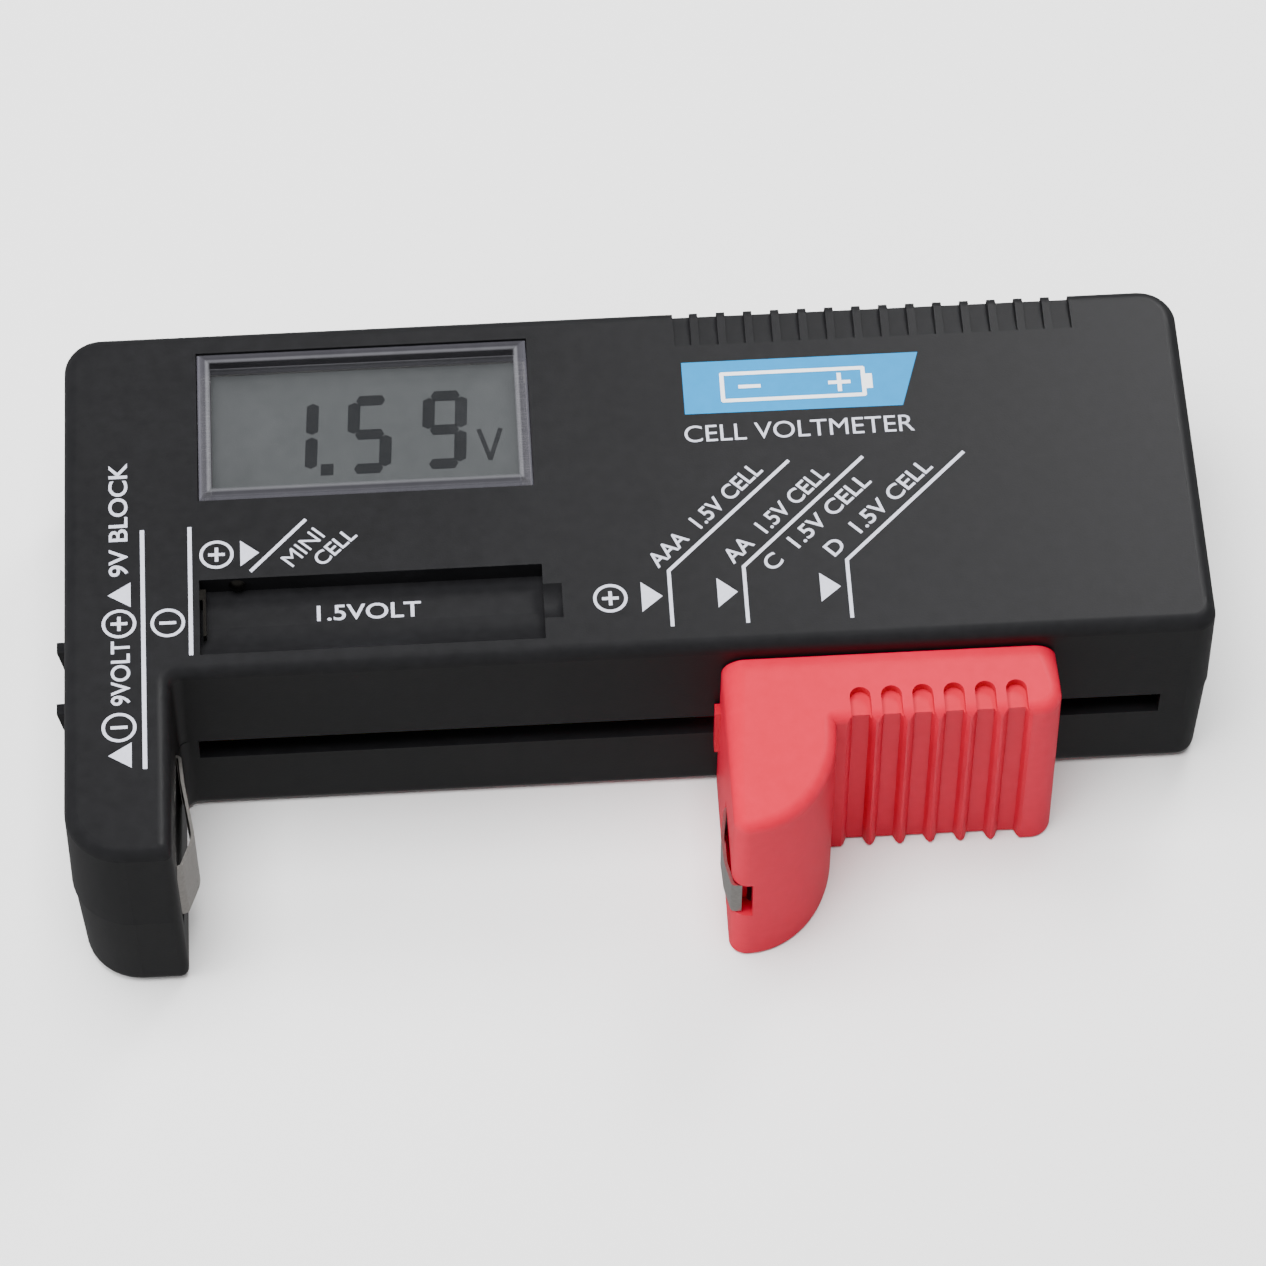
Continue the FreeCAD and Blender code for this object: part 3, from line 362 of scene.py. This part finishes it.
cell = stroke([(9.6, 18.5), (23.6, 18.5), (23.6, 21.7), (9.6, 21.7), (9.6, 18.5)], 0.42)
cell += stroke([(24.1, 19.4), (24.1, 20.8)], 0.75)
cell += stroke([(11.3, 20.1), (13.3, 20.1)], 0.42)
cell += stroke([(20.2, 20.1), (22.2, 20.1)], 0.42) + stroke([(21.2, 19.1), (21.2, 21.1)], 0.42)
printed("badge_symbol", cell, TOP + 0.02, WHITE)


# ---- the display's reading ----
SEGMENTS = {"1": "bc", "5": "acdfg", "9": "abcdfg"}


def digit(figure, x0, y0, wide=4.4, tall=9.3, bar=1.2, lean=0.055):
    """Seven-segment figure, its bars pointed at both ends and leaning a little."""
    gap, half = 0.16, bar / 2
    low, mid, high = y0 + half, y0 + tall / 2, y0 + tall - half
    left, right = x0 + half, x0 + wide - half
    runs = {
        "a": (left, high, right, high), "b": (right, mid, right, high), "c": (right, low, right, mid),
        "d": (left, low, right, low), "f": (left, mid, left, high), "g": (left, mid, right, mid),
    }
    shapes = []
    for key in SEGMENTS[figure]:
        xa, ya, xb, yb = runs[key]
        length = math.hypot(xb - xa, yb - ya)
        ux, uy = (xb - xa) / length, (yb - ya) / length
        tip, reach = half * 0.55, length / 2 - gap
        cx, cy = (xa + xb) / 2, (ya + yb) / 2
        outline = [(-reach, 0), (-reach + tip, -half), (reach - tip, -half), (reach, 0), (reach - tip, half),
                   (-reach + tip, half)]
        spots = [(cx + u * ux - v * uy, cy + u * uy + v * ux) for u, v in outline]
        shapes.append([(x + (y - y0) * lean, y) for x, y in spots])
    return shapes


reading = digit("1", -35.15, 13.55) + digit("5", -27.85, 13.45) + digit("9", -20.45, 13.6)
reading.append([(-30.35, 13.45), (-29.1, 13.45), (-29.05, 14.8), (-30.3, 14.8)])
reading += stroke([(-14.6, 18.0), (-13.6, 14.5), (-12.5, 18.0)], 0.45)
printed("display_reading", reading, GLASS_HIGH.z / MM + 0.02, SEGMENT)


# ---- return spring, which stretches between its post and the jaw's peg ----
def tube(points, radius, sides=8):
    """Verts and quads of a round wire along points."""
    verts, faces = [], []
    up = Vector((0, 0, 1))
    for i, point in enumerate(points):
        ahead = (points[min(i + 1, len(points) - 1)] - points[max(i - 1, 0)]).normalized()
        side = ahead.cross(up)
        if side.length < 0.1:
            side = ahead.cross(Vector((0, 1, 0)))
        side.normalize()
        up = side.cross(ahead)
        for k in range(sides):
            t = 2 * math.pi * k / sides
            verts.append(tuple(point + side * (math.cos(t) * radius) + up * (math.sin(t) * radius)))
        if i:
            for k in range(sides):
                a, b = (i - 1) * sides + k, (i - 1) * sides + (k + 1) % sides
                faces.append([a, b, b + sides, a + sides])
    faces.append(list(range(sides))[::-1])
    faces.append(list(range(len(verts) - sides, len(verts))))
    return verts, faces


def hook_turn(x, y, z, radius, start, turn, steps=27):
    """Points of a spring's end hook: turn degrees around (x, y), from the angle start."""
    angles = [math.radians(start + turn * i / steps) for i in range(steps + 1)]
    return [Vector((x + radius * math.cos(t), y + radius * math.sin(t), z)) for t in angles]


def return_spring():
    """An extension spring: a close coil with a hook round the post at one end and the peg at the other."""
    low, high = (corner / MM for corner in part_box("return_spring"))
    wire, coil, hook, margin, neck = 0.2, 1.4, 1.25, 0.22, 0.8
    turns, per_turn = 40, 18
    y, z = (low.y + high.y) / 2, (low.z + high.z) / 2
    post_x, peg_x = low.x + hook + margin, high.x - hook - margin
    first, last = post_x + hook + neck, peg_x - hook - neck
    path = hook_turn(post_x, y, z, hook, 40, 320)
    steps = turns * per_turn
    for i in range(steps + 1):
        t = 2 * math.pi * i / per_turn
        grow = min(1.0, i * 2 / per_turn, (steps - i) * 2 / per_turn)
        x = first + (last - first) * i / steps
        path.append(Vector((x, y + coil * grow * math.sin(t), z + coil * grow * math.cos(t))))
    path += hook_turn(peg_x, y, z, hook, 180, -320)
    verts, faces = tube(path, wire)
    made = piece("spring_coil", verts, faces, STEEL, smooth=True)
    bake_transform(made)
    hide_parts("return_spring")


return_spring()


# ---- studio, its lights placed in metres ----
def area_light(name, at, aim, size, power, mirrored):
    """A rectangular light at one point, turned to another; mirrored says whether reflections show it."""
    light = bpy.data.lights.new(name, "AREA")
    light.shape = "RECTANGLE"
    light.size, light.size_y = size
    light.energy = power
    made = bpy.data.objects.new(name, light)
    made.location = at
    made.rotation_euler = (Vector(aim) - Vector(at)).to_track_quat("-Z", "Y").to_euler()
    made.visible_glossy = mirrored
    bpy.context.scene.collection.objects.link(made)


FLOOR_REACH = 3000
corners = [(x * FLOOR_REACH, y * FLOOR_REACH, 0) for x, y in ((-1, -1), (1, -1), (1, 1), (-1, 1))]
floor = piece("floor", corners, [[0, 1, 2, 3]],
              surface("floor", (0.95, 0.95, 0.95), (0.97, 0.97, 0.97), 0.6, specular=0.2))
floor.visible_glossy = False
area_light("overhead", (-0.10, 0.0, 0.80), (0.0, 0.0, 0.0), (0.6, 0.5), 15.0, False)
area_light("left_softbox", (-0.75, -0.10, 0.35), (0.0, 0.0, 0.01), (0.5, 0.4), 6.0, False)
area_light("back_sheen", (0.16, 0.26, 0.33), (0.03, 0.0, 0.02), (0.12, 0.12), 0.9, True)
world = bpy.data.worlds.new("studio")
world.use_nodes = True
world.node_tree.nodes["Background"].inputs["Color"].default_value = (1.0, 1.0, 1.0, 1.0)
world.node_tree.nodes["Background"].inputs["Strength"].default_value = 0.35
bpy.context.scene.world = world

# ---- camera: a long lens, in front of the tester and well above it ----
SENSOR, LENS = 36.0, 147.782
ELEVATION, AZIMUTH, DISTANCE = 57.70, -3.304, 498.08
TARGET = Vector((-0.851, -8.011, 25.0))
el, az = math.radians(ELEVATION), math.radians(AZIMUTH)
back = Vector((math.sin(az) * math.cos(el), -math.cos(az) * math.cos(el), math.sin(el)))
camera_data = bpy.data.cameras.new("camera")
camera_data.sensor_width, camera_data.lens = SENSOR, LENS
camera_data.clip_start, camera_data.clip_end = 0.01, 20.0
camera = bpy.data.objects.new("camera", camera_data)
camera.location = (TARGET + back * DISTANCE) * MM
camera.rotation_euler = (-back).to_track_quat("-Z", "Y").to_euler()
bpy.context.scene.collection.objects.link(camera)
bpy.context.scene.camera = camera
